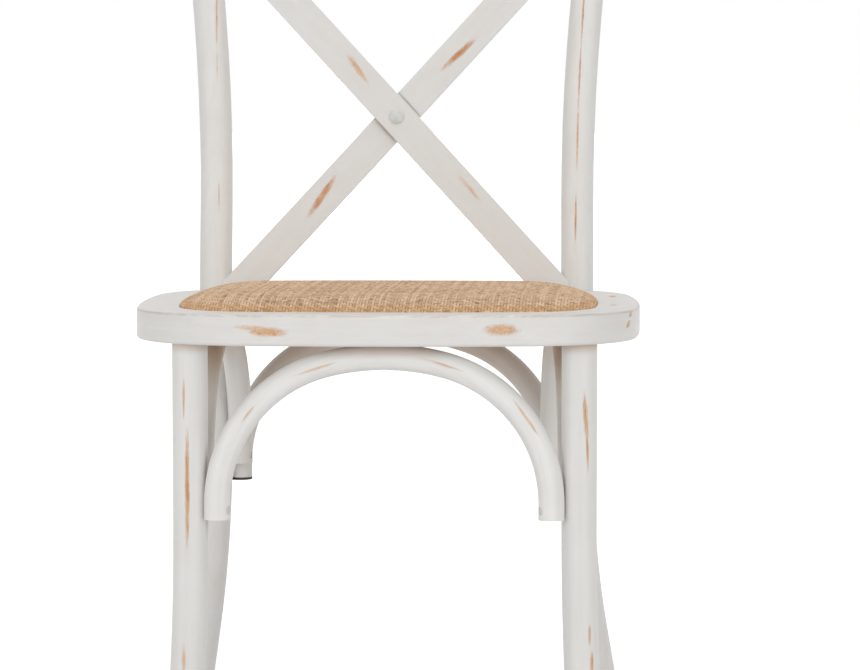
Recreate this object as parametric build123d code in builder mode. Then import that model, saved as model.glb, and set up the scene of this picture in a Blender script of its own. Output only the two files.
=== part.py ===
from build123d import *
from math import cos, hypot, radians, sin, sqrt, tan
from typing import NamedTuple
import os

# Bentwood cross-back dining chair with a woven seat, in millimetres.
# +Z is up and the front faces -Y; left and right are as seen from the front.
# The origin is on the floor, in the middle of the chair's width and depth.

# Seat ring: a bent wooden ring with a ledge inside it for the seat board
SEAT_TOP = 458.5
SEAT_WIDTH = 497
SEAT_DEPTH = 435
RING_HEIGHT = 30
RIM_WIDTH = 42
RIM_ROUNDING = 3.5
OPENING_ROUNDING = 1.5
CORNER_RADIUS = 120
EDGE_BOW = 6  # degrees that an edge of the ring turns between its middle and a corner
LEDGE_WIDTH = 12
LEDGE_HEIGHT = 8

# Seat board and the woven pad on it
BOARD_THICKNESS = 14
PAD_EDGE_RISE = 0.5  # top of the woven edge above the rim
PAD_CROWN_RISE = 14.3  # top of the crown above the rim
PAD_SHOULDER = 70  # distance from the pad's edge over which it rises
PAD_SECTIONS = 6

# Back hoop: rear legs, posts and top bow in one bent rod
OVERALL_HEIGHT = 890
POST_DIAMETER = 34
POST_INSET = 5.5  # post axis inside the ring's outer edge, square to that edge
POST_SIDE_INSET = 58.5  # post axes inside the ring's widest point
KNEE_HEIGHT = 194  # where the lines of the upper and the lower rear leg meet
KNEE_RADIUS = 470
REAR_SPLAY = 25.4  # degrees that a rear leg leans away at the foot
REAR_SPLAY_TURN = 21  # degrees by which that lean points outwards from straight back
BACK_LEAN = 9  # degrees
LEAN_RADIUS = 300
FLARE_START = 93  # along the back from the seat's top
FLARE_CORNER = 192
FLARE_ANGLE = 5  # degrees that a post leans outwards above the flare
SHOULDER_RADIUS = 90
TOP_SLOPE = 8  # degrees that the top bow rises towards its middle
TOP_RADIUS = 700

# Front legs
LEG_DIAMETER = 34
LEG_SIDE_INSET = 62.5  # leg axes inside the ring's widest point
LEG_INSET = 25  # leg axis inside the ring's outer edge, square to that edge
LEG_SWEEP_START = 250  # height below which a front leg bends
LEG_SWEEP_RADIUS = 2400
LEG_SWEEP_TURN = 35  # degrees by which that bend points forwards from straight out
TENON_DIAMETER = 20
TENON_LENGTH = 21

# Arches: bent brace rods under the seat, with their ends screwed to the legs
ARCH_DIAMETER = 25
ARCH_CROWN_RADIUS = 225
ARCH_CROWN_ANGLE = 14.4  # degrees of the crown's arc on each side of its middle
ARCH_END_LENGTH = 15  # straight end below the bend
ARCH_END_GAP = 1
REAR_ARCH_CROWN_ANGLE = 20
REAR_ARCH_END_LENGTH = 19
REAR_ARCH_BEHIND = 17.3  # rear arch's middle behind the posts' axes
SIDE_ARCH_BEARING = 75  # degrees from a leg's inner side to its back, where the side arch's end sits

# Crossed strips of the back
STRIP_WIDTH = 34
STRIP_THICKNESS = 8
STRIP_FORWARD = 10  # strips' middle in front of the posts' axes
STRIP_FOOT_INSET = 25.2  # strip's middle from the post's axis, at the seat's top
STRIP_TOP_ANGLE = 40  # degrees round the hoop's shoulder, above level, where a strip's middle meets it
CROSS_GAP = 0.3
STRIP_BLANK_RATIO = 1.4  # uncut half strip against its run from the crossing to the ring

# Rivet at the crossing
RIVET_DIAMETER = 6
RIVET_HEAD_DIAMETER = 15.5
RIVET_HEAD_EDGE = 0.8
RIVET_HEAD_HEIGHT = 3.2
RIVET_TAIL_DIAMETER = 9
RIVET_TAIL_HEIGHT = 2
WASHER_DIAMETER = 14
WASHER_THICKNESS = 1.2

# Glides under the feet
GLIDE_DIAMETER = 26
GLIDE_HEIGHT = 5
GLIDE_ROUNDING = 1.5
GLIDE_NAIL_SINK = 2

# Clearances
FIT_GAP = 0.1
PAD_GAP = 0.3
SCREW_GAP = 0.05
CUT_MARGIN = 10
OPEN_POCKET = 20  # a hole behind a head that is reached from outside


# Fasteners: shank diameter, head diameter and head height of each kind
WOOD_SCREW = (4, 8, 3.5)
BOARD_SCREW = (3.5, 7, 2.2)
STRIP_SCREW = (3, 6.5, 3)
POST_BOLT = (6, 11, 4)
GLIDE_NAIL = (2.5, 6.5, 1.2)

# Fasteners: how deep their heads are let in and how far they bite
ARCH_END_RECESS = 5
ARCH_END_BITE = 18
ARCH_SCREW_RISE = 9  # above an arch's end
CROWN_RECESS = 6
CROWN_BITE = 12
BOARD_RECESS = 2.5
BOARD_BITE = 10
BOARD_SCREW_ANGLES = (12, 78)  # degrees round each corner of the ring
BOLT_RECESS = 5
INSERT_DIAMETER = 10
INSERT_LENGTH = 15
INSERT_SINK = 1.5
LOCK_RECESS = 4.5
LOCK_BITE = 13.5  # beyond the tenon's axis
LOCK_HEIGHT = 13  # above the ring's underside
STRIP_SCREW_RECESS = 4
STRIP_SCREW_BITE = 18
STRIP_SCREW_INSET = 38  # from the post's axis
NAIL_BITE = 15

# Places that follow from the sizes above
post_radius = POST_DIAMETER / 2
leg_radius = LEG_DIAMETER / 2
arch_radius = ARCH_DIAMETER / 2
ring_bottom = SEAT_TOP - RING_HEIGHT
board_bottom = ring_bottom + LEDGE_HEIGHT
board_top = board_bottom + BOARD_THICKNESS

seat_half_width = SEAT_WIDTH / 2
seat_half_depth = SEAT_DEPTH / 2
bow = radians(EDGE_BOW)
bow_slope = tan(bow / 2)
square_x = seat_half_width - CORNER_RADIUS
square_y = seat_half_depth - CORNER_RADIUS
corner_x = (square_x - square_y * bow_slope) / (1 - bow_slope**2)
corner_y = square_y - corner_x * bow_slope
side_radius = CORNER_RADIUS + corner_y / sin(bow)
front_radius = CORNER_RADIUS + corner_x / sin(bow)

leg_x = seat_half_width - LEG_SIDE_INSET
post_x = seat_half_width - POST_SIDE_INSET
leg_reach = CORNER_RADIUS - LEG_INSET
post_reach = CORNER_RADIUS - POST_INSET
leg_from_corner = sqrt(leg_reach**2 - (leg_x - corner_x) ** 2)
post_from_corner = sqrt(post_reach**2 - (post_x - corner_x) ** 2)

splay = radians(REAR_SPLAY)
splay_turn = radians(REAR_SPLAY_TURN)
splay_out = tan(splay) * sin(splay_turn)
splay_back = tan(splay) * cos(splay_turn)
rear_foot_half_depth = post_radius * hypot(cos(splay_turn) / cos(splay), sin(splay_turn))
rear_foot_back = (KNEE_HEIGHT - GLIDE_HEIGHT) * splay_back + rear_foot_half_depth
chair_back = corner_y + post_from_corner + rear_foot_back
seat_middle = (seat_half_depth - chair_back) / 2
leg_y = seat_middle - corner_y - leg_from_corner
post_y = seat_middle + corner_y + post_from_corner

arch_lap = arch_radius + ARCH_END_GAP / 2
leg_to_arch = leg_radius + arch_radius + FIT_GAP
post_to_arch = post_radius + arch_radius + FIT_GAP
front_arch_x = leg_x - sqrt(leg_to_arch**2 - arch_lap**2)
front_arch_y = leg_y - arch_lap
rear_arch_x = post_x - sqrt(post_to_arch**2 - REAR_ARCH_BEHIND**2)
rear_arch_y = post_y + REAR_ARCH_BEHIND
side_bearing = radians(SIDE_ARCH_BEARING)
side_arch_front = (leg_x - leg_to_arch * cos(side_bearing), leg_y + leg_to_arch * sin(side_bearing))
side_arch_back = (post_x - sqrt(post_to_arch**2 - arch_lap**2), post_y - arch_lap)
side_arch_run = (side_arch_back[0] - side_arch_front[0], side_arch_back[1] - side_arch_front[1])
side_arch_x = side_arch_front[0] + side_arch_run[0] / 2
side_arch_y = side_arch_front[1] + side_arch_run[1] / 2
arch_crown = ring_bottom - arch_radius - FIT_GAP
side_arch_crown = board_bottom - arch_radius - FIT_GAP


class ArchBend(NamedTuple):
    half_span: float
    crown: float
    crown_angle: float
    end_length: float

    @property
    def haunch_radius(self):
        turn = radians(self.crown_angle)
        return (self.half_span - ARCH_CROWN_RADIUS * sin(turn)) / (1 - sin(turn))

    @property
    def spring(self):
        turn = radians(self.crown_angle)
        return self.crown - ARCH_CROWN_RADIUS * (1 - cos(turn)) - self.haunch_radius * cos(turn)

    @property
    def end(self):
        return self.spring - self.end_length


front_bend = ArchBend(front_arch_x, arch_crown, ARCH_CROWN_ANGLE, ARCH_END_LENGTH)
rear_bend = ArchBend(rear_arch_x, arch_crown, REAR_ARCH_CROWN_ANGLE, REAR_ARCH_END_LENGTH)
side_bend = ArchBend(hypot(*side_arch_run) / 2, side_arch_crown, ARCH_CROWN_ANGLE, ARCH_END_LENGTH)

lean = radians(BACK_LEAN)
back_plane = Plane((0, post_y, SEAT_TOP), x_dir=(1, 0, 0), z_dir=(0, -cos(lean), sin(lean)))
flare = radians(FLARE_ANGLE)
slope = radians(TOP_SLOPE)
flare_radius = (FLARE_CORNER - FLARE_START) / tan(flare / 2)
top_rise = (OVERALL_HEIGHT - post_radius - SEAT_TOP) / cos(lean)
apex_rise = top_rise + TOP_RADIUS * (1 / cos(slope) - 1)
shoulder_x = (post_x + (apex_rise - FLARE_CORNER) * tan(flare)) / (1 + tan(flare) * tan(slope))
shoulder_rise = apex_rise - shoulder_x * tan(slope)
shoulder_tangent = SHOULDER_RADIUS * tan((radians(90) + flare - slope) / 2)
shoulder_centre_x = shoulder_x - sin(flare) * shoulder_tangent - cos(flare) * SHOULDER_RADIUS
shoulder_centre_rise = shoulder_rise - cos(flare) * shoulder_tangent + sin(flare) * SHOULDER_RADIUS

strip_foot_x = post_x - STRIP_FOOT_INSET
strip_top_x = shoulder_centre_x + SHOULDER_RADIUS * cos(radians(STRIP_TOP_ANGLE))
strip_top_rise = shoulder_centre_rise + SHOULDER_RADIUS * sin(radians(STRIP_TOP_ANGLE))
cross_rise = strip_foot_x * strip_top_rise / (strip_foot_x + strip_top_x)
strip_half = hypot(strip_foot_x, cross_rise)
strip_out = strip_foot_x / strip_half
strip_up = cross_rise / strip_half
strip_bow = (STRIP_THICKNESS + CROSS_GAP) / 2
strip_front_face = STRIP_FORWARD + strip_bow + STRIP_THICKNESS / 2
strip_back_face = STRIP_FORWARD - strip_bow - STRIP_THICKNESS / 2
post_half_chord = sqrt(post_radius**2 - STRIP_FORWARD**2)


class Screw(NamedTuple):
    shank: float
    head: float
    head_height: float
    length: float


rim_to_post = RIM_WIDTH - POST_INSET - post_radius
arch_end_screw = Screw(*WOOD_SCREW, ARCH_DIAMETER - ARCH_END_RECESS + FIT_GAP + ARCH_END_BITE)
crown_screw = Screw(*WOOD_SCREW, ARCH_DIAMETER - CROWN_RECESS + FIT_GAP + CROWN_BITE)
lock_screw = Screw(*WOOD_SCREW, RIM_WIDTH - LEG_INSET - LOCK_RECESS + LOCK_BITE)
board_screw = Screw(*BOARD_SCREW, LEDGE_HEIGHT - BOARD_RECESS + BOARD_BITE)
strip_foot_screw = Screw(*STRIP_SCREW, RING_HEIGHT - STRIP_SCREW_RECESS + STRIP_SCREW_BITE)
strip_top_screw = Screw(*STRIP_SCREW, 2 * post_half_chord - STRIP_SCREW_RECESS + STRIP_SCREW_BITE)
post_bolt = Screw(*POST_BOLT, rim_to_post - BOLT_RECESS + INSERT_SINK + INSERT_LENGTH)
glide_nail = Screw(*GLIDE_NAIL, GLIDE_HEIGHT - GLIDE_NAIL_SINK + NAIL_BITE)


# Functions that draw inside the block that calls them
def seat_level(height):
    return Plane((0, seat_middle, height))


def seat_outline(inset):
    """Fill the outline of the seat ring, moved inwards by inset: four bowed edges and four round corners."""
    edge_sweep = 2 * EDGE_BOW
    corner_sweep = 90 - 2 * EDGE_BOW
    corner_radius = CORNER_RADIUS - inset
    with BuildLine() as outline:
        for turn, side in ((0, 1), (180, -1)):
            side_centre = (side * (seat_half_width - side_radius), 0)
            front_centre = (0, side * (seat_half_depth - front_radius))
            CenterArc(side_centre, side_radius - inset, turn - EDGE_BOW, edge_sweep)
            CenterArc((side * corner_x, side * corner_y), corner_radius, turn + EDGE_BOW, corner_sweep)
            CenterArc(front_centre, front_radius - inset, turn + 90 - EDGE_BOW, edge_sweep)
            CenterArc((-side * corner_x, side * corner_y), corner_radius, turn + 90 + EDGE_BOW, corner_sweep)
    make_face(outline.edges())


def sweep_rod(path, radius):
    with BuildSketch(Plane(path @ 0, z_dir=path % 0)) as section:
        Circle(radius)
    sweep(section.sketch, path=path)


def bend_hoop(radius):
    """Sweep the hoop's rod from the left foot over the top to the right foot."""
    drop = KNEE_HEIGHT + CUT_MARGIN
    half = [
        (post_x + drop * splay_out, post_y + drop * splay_back, -CUT_MARGIN),
        (post_x, post_y, KNEE_HEIGHT),
        (post_x, post_y, SEAT_TOP),
        tuple(back_plane.from_local_coords((post_x, FLARE_CORNER))),
        tuple(back_plane.from_local_coords((shoulder_x, shoulder_rise))),
    ]
    apex = tuple(back_plane.from_local_coords((0, apex_rise)))
    left = [(-x, y, z) for x, y, z in half]
    bends = [KNEE_RADIUS, LEAN_RADIUS, flare_radius, SHOULDER_RADIUS]
    with BuildLine() as path:
        FilletPolyline(*left, apex, *reversed(half), radius=[*bends, TOP_RADIUS, *reversed(bends)])
    sweep_rod(path.line, radius)
    cut_below(GLIDE_HEIGHT)


def bend_arch(plane, bend):
    """Sweep an arch in a plane whose X runs along the span and whose Y is up."""
    haunch_turn = 90 - bend.crown_angle
    with BuildLine(plane) as path:
        first_end = Line((-bend.half_span, bend.end), (-bend.half_span, bend.spring))
        first_haunch = JernArc(first_end @ 1, first_end % 1, bend.haunch_radius, -haunch_turn)
        top = JernArc(first_haunch @ 1, first_haunch % 1, ARCH_CROWN_RADIUS, -2 * bend.crown_angle)
        last_haunch = JernArc(top @ 1, top % 1, bend.haunch_radius, -haunch_turn)
        Line(last_haunch @ 1, (bend.half_span, bend.end))
    sweep_rod(path.line, arch_radius)


def cut_below(height):
    """Cut the feet off level at this height."""
    with BuildSketch(Plane.XY.offset(height)) as level:
        Rectangle(2 * SEAT_WIDTH, 2 * chair_back + SEAT_DEPTH)
    extrude(level.sketch, amount=-2 * CUT_MARGIN - height, mode=Mode.SUBTRACT)


def drive(screw, seat):
    """Add a screw whose head rests on the plane seat and whose shank follows that plane's normal."""
    with BuildSketch(seat) as shank:
        Circle(screw.shank / 2)
    extrude(shank.sketch, amount=screw.length)
    with BuildSketch(seat) as head:
        Circle(screw.head / 2)
    extrude(head.sketch, amount=-screw.head_height)


def bore(screw, seat, pocket=OPEN_POCKET):
    """Cut the hole for a screw, with a pocket behind its head."""
    with BuildSketch(seat) as shank:
        Circle(screw.shank / 2 + SCREW_GAP)
    extrude(shank.sketch, amount=screw.length + SCREW_GAP, mode=Mode.SUBTRACT)
    with BuildSketch(seat) as head:
        Circle(screw.head / 2 + SCREW_GAP)
    extrude(head.sketch, amount=-pocket, mode=Mode.SUBTRACT)


# Seats of the fasteners: planes under their heads
def arch_end_seat(end, leg, bend):
    """A seat on the arch's inner side, facing the leg; end and leg are given by X and Y."""
    towards = Vector(leg[0] - end[0], leg[1] - end[1], 0).normalized()
    middle = Vector(end[0], end[1], bend.end + ARCH_SCREW_RISE)
    return Plane(middle - towards * (arch_radius - ARCH_END_RECESS), z_dir=towards)


def ring_seat(target, reach, height):
    """A seat this far from a corner's centre, facing outwards to a leg or post given by its X and Y."""
    side = 1 if target[0] > 0 else -1
    end = 1 if target[1] > seat_middle else -1
    centre = Vector(side * corner_x, seat_middle + end * corner_y, height)
    outwards = (Vector(target[0], target[1], height) - centre).normalized()
    return Plane(centre + outwards * reach, z_dir=outwards)


sides = (-1, 1)
opening_reach = CORNER_RADIUS - RIM_WIDTH

front_arch_seats = [
    arch_end_seat((s * front_arch_x, front_arch_y), (s * leg_x, leg_y), front_bend) for s in sides
]
rear_arch_seats = [
    arch_end_seat((s * rear_arch_x, rear_arch_y), (s * post_x, post_y), rear_bend) for s in sides
]
side_arch_front_seats = [
    arch_end_seat((s * side_arch_front[0], side_arch_front[1]), (s * leg_x, leg_y), side_bend)
    for s in sides
]
side_arch_back_seats = [
    arch_end_seat((s * side_arch_back[0], side_arch_back[1]), (s * post_x, post_y), side_bend)
    for s in sides
]
leg_arch_seats = front_arch_seats + side_arch_front_seats
post_arch_seats = rear_arch_seats + side_arch_back_seats

crown_sink = arch_radius - CROWN_RECESS
front_crown_seat = Plane((0, front_arch_y, arch_crown - crown_sink))
rear_crown_seat = Plane((0, rear_arch_y, arch_crown - crown_sink))
side_crown_seats = [Plane((s * side_arch_x, side_arch_y, side_arch_crown - crown_sink)) for s in sides]

lock_seats = [
    ring_seat((s * leg_x, leg_y), opening_reach + LOCK_RECESS, ring_bottom + LOCK_HEIGHT) for s in sides
]
bolt_seats = [
    ring_seat((s * post_x, post_y), opening_reach + BOLT_RECESS, SEAT_TOP - RING_HEIGHT / 2) for s in sides
]
insert_seats = [
    ring_seat((s * post_x, post_y), post_reach - post_radius + INSERT_SINK, SEAT_TOP - RING_HEIGHT / 2)
    for s in sides
]

board_screw_reach = opening_reach - LEDGE_WIDTH / 2
board_seats = [
    Plane(
        (
            side * (corner_x + board_screw_reach * cos(radians(angle))),
            seat_middle + end * (corner_y + board_screw_reach * sin(radians(angle))),
            ring_bottom + BOARD_RECESS,
        )
    )
    for side in sides
    for end in (-1, 1)
    for angle in BOARD_SCREW_ANGLES
]

strip_foot_rise = (STRIP_SCREW_RECESS - RING_HEIGHT - STRIP_FORWARD * sin(lean)) / cos(lean)
strip_foot_seats = [
    Plane(
        back_plane.from_local_coords((s * (post_x - STRIP_SCREW_INSET), strip_foot_rise, STRIP_FORWARD)),
        z_dir=back_plane.y_dir,
    )
    for s in sides
]


def strip_top_seat(side):
    """A seat outside the hoop's shoulder, facing down the strip's own line."""
    past_hoop = post_half_chord - STRIP_SCREW_RECESS
    place = back_plane.from_local_coords(
        (side * (strip_top_x + strip_out * past_hoop), strip_top_rise + strip_up * past_hoop, STRIP_FORWARD)
    )
    down_strip = back_plane.x_dir * (-side * strip_out) - back_plane.y_dir * strip_up
    return Plane(place, z_dir=down_strip)


strip_top_seats = [strip_top_seat(s) for s in sides]

front_foot_drop = LEG_SWEEP_START - GLIDE_HEIGHT
front_foot_shift = LEG_SWEEP_RADIUS - sqrt(LEG_SWEEP_RADIUS**2 - front_foot_drop**2)
leg_out = cos(radians(LEG_SWEEP_TURN))
leg_forward = sin(radians(LEG_SWEEP_TURN))
front_foot_x = leg_x + front_foot_shift * leg_out
front_foot_y = leg_y - front_foot_shift * leg_forward
rear_foot_x = post_x + (KNEE_HEIGHT - GLIDE_HEIGHT) * splay_out
rear_foot_y = post_y + (KNEE_HEIGHT - GLIDE_HEIGHT) * splay_back
front_nail_seats = [Plane((s * front_foot_x, front_foot_y, GLIDE_NAIL_SINK)) for s in sides]
rear_nail_seats = [Plane((s * rear_foot_x, rear_foot_y, GLIDE_NAIL_SINK)) for s in sides]

os.makedirs("parts", exist_ok=True)

# The hoop with a little clearance, cut out of the pieces that are let in round it
with BuildPart() as hoop_room:
    bend_hoop(post_radius + FIT_GAP)

# Back hoop: rear legs, posts and top bow
with BuildPart() as back_hoop:
    bend_hoop(post_radius)
    for seat in insert_seats:
        with BuildSketch(seat):
            Circle(INSERT_DIAMETER / 2 + SCREW_GAP)
        extrude(amount=INSERT_LENGTH + SCREW_GAP, mode=Mode.SUBTRACT)
        with BuildSketch(seat):
            Circle(INSERT_DIAMETER / 2 + SCREW_GAP)
        extrude(amount=-CUT_MARGIN, mode=Mode.SUBTRACT)
    for seat in post_arch_seats:
        bore(arch_end_screw, seat)
    for seat in strip_top_seats:
        bore(strip_top_screw, seat)
    for seat in rear_nail_seats:
        bore(glide_nail, seat)
back_hoop.part.label = "back_hoop"
export_step(back_hoop.part, "parts/back_hoop.step")

# Seat ring, scalloped at its rear corners for the posts
with BuildPart() as seat_frame:
    with BuildSketch(seat_level(ring_bottom)):
        seat_outline(0)
    extrude(amount=RING_HEIGHT)
    rim_edges = seat_frame.edges().filter_by(lambda edge: abs(edge.center().Z - SEAT_TOP) < FIT_GAP)
    base_edges = seat_frame.edges().filter_by(lambda edge: abs(edge.center().Z - ring_bottom) < FIT_GAP)
    fillet(rim_edges + base_edges, RIM_ROUNDING)
    with BuildSketch(seat_level(board_bottom)):
        seat_outline(RIM_WIDTH)
    extrude(amount=RING_HEIGHT, mode=Mode.SUBTRACT)
    rim_face = seat_frame.faces().sort_by(Axis.Z)[-1]
    fillet(rim_face.inner_wires()[0].edges(), OPENING_ROUNDING)
    with BuildSketch(seat_level(ring_bottom)):
        seat_outline(RIM_WIDTH + LEDGE_WIDTH)
    extrude(amount=RING_HEIGHT, mode=Mode.SUBTRACT)
    add(hoop_room.part, mode=Mode.SUBTRACT)
    with BuildSketch(Plane.XY.offset(ring_bottom)):
        with Locations((-leg_x, leg_y), (leg_x, leg_y)):
            Circle(TENON_DIAMETER / 2 + FIT_GAP)
    extrude(amount=TENON_LENGTH + FIT_GAP, mode=Mode.SUBTRACT)
    for seat in lock_seats:
        bore(lock_screw, seat)
    for seat in bolt_seats:
        bore(post_bolt, seat)
    for seat in board_seats:
        bore(board_screw, seat)
    for seat in strip_foot_seats:
        bore(strip_foot_screw, seat)
    for seat in (front_crown_seat, rear_crown_seat):
        bore(crown_screw, seat)
seat_frame.part.label = "seat_frame"
export_step(seat_frame.part, "parts/seat_frame.step")

# Seat board: plywood that drops into the ring and lies on its ledge
with BuildPart() as seat_board:
    with BuildSketch(seat_level(board_bottom)):
        seat_outline(RIM_WIDTH + PAD_GAP)
    extrude(amount=BOARD_THICKNESS)
    for seat in board_seats:
        bore(board_screw, seat)
    for seat in (front_crown_seat, *side_crown_seats):
        bore(crown_screw, seat)
seat_board.part.label = "seat_board"
export_step(seat_board.part, "parts/seat_board.step")

# Woven seat: a straight edge inside the ring under a crown that rises steeply and then flattens
with BuildPart() as woven_seat:
    with BuildSketch(seat_level(board_top)):
        seat_outline(RIM_WIDTH + PAD_GAP)
    extrude(amount=SEAT_TOP + PAD_EDGE_RISE - board_top)
    for step in range(PAD_SECTIONS):
        turn = radians(90) * step / (PAD_SECTIONS - 1)
        inset = RIM_WIDTH + PAD_GAP + PAD_SHOULDER * (1 - cos(turn))
        rise = PAD_EDGE_RISE + (PAD_CROWN_RISE - PAD_EDGE_RISE) * sin(turn)
        with BuildSketch(seat_level(SEAT_TOP + rise)):
            seat_outline(inset)
    loft()
woven_seat.part.label = "woven_seat"
export_step(woven_seat.part, "parts/woven_seat.step")

# Front legs, each with a tenon in the ring
for number, side, name in ((0, -1, "front_leg_left"), (1, 1, "front_leg_right")):
    with BuildPart() as front_leg:
        sweep_drop = LEG_SWEEP_START + CUT_MARGIN
        sweep_shift = LEG_SWEEP_RADIUS - sqrt(LEG_SWEEP_RADIUS**2 - sweep_drop**2)
        foot = (side * (leg_x + sweep_shift * leg_out), leg_y - sweep_shift * leg_forward, -CUT_MARGIN)
        with BuildLine() as leg_path:
            upper = Line((side * leg_x, leg_y, ring_bottom - FIT_GAP), (side * leg_x, leg_y, LEG_SWEEP_START))
            TangentArc(upper @ 1, foot, tangent=upper % 1)
        sweep_rod(leg_path.line, leg_radius)
        with BuildSketch(Plane((side * leg_x, leg_y, ring_bottom - FIT_GAP))):
            Circle(TENON_DIAMETER / 2)
        extrude(amount=TENON_LENGTH)
        cut_below(GLIDE_HEIGHT)
        bore(lock_screw, lock_seats[number])
        bore(glide_nail, front_nail_seats[number])
        bore(arch_end_screw, front_arch_seats[number])
        bore(arch_end_screw, side_arch_front_seats[number])
    front_leg.part.label = name
    export_step(front_leg.part, f"parts/{name}.step")

# Front and rear arches, across the chair
for name, arch_y, bend, end_seats, crown_seat in (
    ("front_arch", front_arch_y, front_bend, front_arch_seats, front_crown_seat),
    ("rear_arch", rear_arch_y, rear_bend, rear_arch_seats, rear_crown_seat),
):
    with BuildPart() as cross_arch:
        bend_arch(Plane((0, arch_y, 0), x_dir=(1, 0, 0), z_dir=(0, -1, 0)), bend)
        for seat in end_seats:
            bore(arch_end_screw, seat)
        bore(crown_screw, crown_seat)
    cross_arch.part.label = name
    export_step(cross_arch.part, f"parts/{name}.step")

# Side arches, from front leg to rear leg
for number, side, name in ((0, -1, "side_arch_left"), (1, 1, "side_arch_right")):
    with BuildPart() as side_arch:
        span = Vector(side * side_arch_run[0], side_arch_run[1], 0)
        span_middle = (side * side_arch_x, side_arch_y, 0)
        bend_arch(Plane(span_middle, x_dir=span, z_dir=span.cross(Vector(0, 0, 1))), side_bend)
        bore(arch_end_screw, side_arch_front_seats[number])
        bore(arch_end_screw, side_arch_back_seats[number])
        bore(crown_screw, side_crown_seats[number])
    side_arch.part.label = name
    export_step(side_arch.part, f"parts/{name}.step")

# Crossed strips: bowed apart where they cross, coped to the hoop and cut level on the ring.
# The front strip runs from the hoop's left shoulder down to the right post.
strip_end = STRIP_BLANK_RATIO * strip_half
for name, side, bulge in (("cross_strip_front", -1, strip_bow), ("cross_strip_rear", 1, -strip_bow)):
    along = back_plane.x_dir * (side * strip_out) + back_plane.y_dir * strip_up
    crossing = back_plane.from_local_coords((0, cross_rise))
    strip_plane = Plane(crossing, x_dir=along, z_dir=along.cross(back_plane.z_dir))
    middle_height = STRIP_FORWARD + bulge
    end_height = STRIP_FORWARD + bulge - bulge * (strip_end / strip_half) ** 2
    half_thickness = STRIP_THICKNESS / 2
    with BuildPart() as cross_strip:
        with BuildSketch(strip_plane):
            with BuildLine():
                front_edge = ThreePointArc(
                    (-strip_end, end_height + half_thickness),
                    (0, middle_height + half_thickness),
                    (strip_end, end_height + half_thickness),
                )
                back_edge = ThreePointArc(
                    (-strip_end, end_height - half_thickness),
                    (0, middle_height - half_thickness),
                    (strip_end, end_height - half_thickness),
                )
                Line(front_edge @ 0, back_edge @ 0)
                Line(front_edge @ 1, back_edge @ 1)
            make_face()
        extrude(amount=STRIP_WIDTH / 2, both=True)
        with BuildSketch(back_plane):
            with BuildLine():
                FilletPolyline(
                    (-post_x, -RING_HEIGHT),
                    (-post_x, FLARE_CORNER),
                    (-shoulder_x, shoulder_rise),
                    (0, apex_rise),
                    (shoulder_x, shoulder_rise),
                    (post_x, FLARE_CORNER),
                    (post_x, -RING_HEIGHT),
                    radius=[flare_radius, SHOULDER_RADIUS, TOP_RADIUS, SHOULDER_RADIUS, flare_radius],
                )
                Line((post_x, -RING_HEIGHT), (-post_x, -RING_HEIGHT))
            make_face()
            offset(amount=-post_half_chord / 2)
        extrude(amount=POST_DIAMETER, both=True, mode=Mode.INTERSECT)
        add(hoop_room.part, mode=Mode.SUBTRACT)
        with BuildSketch(seat_level(SEAT_TOP + FIT_GAP)):
            Rectangle(SEAT_WIDTH, SEAT_DEPTH)
        extrude(amount=-2 * RING_HEIGHT, mode=Mode.SUBTRACT)
        with BuildSketch(Plane(crossing, z_dir=back_plane.z_dir)):
            Circle(RIVET_DIAMETER / 2 + SCREW_GAP)
        extrude(amount=2 * strip_front_face, both=True, mode=Mode.SUBTRACT)
        bore(strip_foot_screw, strip_foot_seats[0] if side > 0 else strip_foot_seats[1])
        bore(strip_top_screw, strip_top_seats[1] if side > 0 else strip_top_seats[0])
    cross_strip.part.label = name
    export_step(cross_strip.part, f"parts/{name}.step")

# Rivet through the crossing, with a domed head in front and a washer under its tail
rivet_base = back_plane.from_local_coords((0, cross_rise, strip_front_face + SCREW_GAP))
washer_base = back_plane.from_local_coords((0, cross_rise, strip_back_face - SCREW_GAP))
with BuildPart() as cross_rivet:
    with BuildSketch(Plane(rivet_base, x_dir=(1, 0, 0), z_dir=-back_plane.y_dir)):
        with BuildLine():
            rim = Polyline((0, 0), (RIVET_HEAD_DIAMETER / 2, 0), (RIVET_HEAD_DIAMETER / 2, RIVET_HEAD_EDGE))
            dome = TangentArc((0, RIVET_HEAD_HEIGHT), rim @ 1, tangent=(1, 0))
            Line(dome @ 0, rim @ 0)
        make_face()
    revolve(axis=Axis(rivet_base, back_plane.z_dir))
    shank_length = strip_front_face - strip_back_face + 2 * SCREW_GAP + WASHER_THICKNESS + RIVET_TAIL_HEIGHT
    with BuildSketch(Plane(rivet_base, z_dir=-back_plane.z_dir)):
        Circle(RIVET_DIAMETER / 2)
    extrude(amount=shank_length)
    with BuildSketch(Plane(rivet_base - back_plane.z_dir * shank_length, z_dir=back_plane.z_dir)):
        Circle(RIVET_TAIL_DIAMETER / 2)
    extrude(amount=RIVET_TAIL_HEIGHT - SCREW_GAP)
cross_rivet.part.label = "cross_rivet"
export_step(cross_rivet.part, "parts/cross_rivet.step")

with BuildPart() as rivet_washer:
    with BuildSketch(Plane(washer_base, z_dir=-back_plane.z_dir)):
        Circle(WASHER_DIAMETER / 2)
        Circle(RIVET_DIAMETER / 2 + SCREW_GAP, mode=Mode.SUBTRACT)
    extrude(amount=WASHER_THICKNESS)
rivet_washer.part.label = "rivet_washer"
export_step(rivet_washer.part, "parts/rivet_washer.step")

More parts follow.
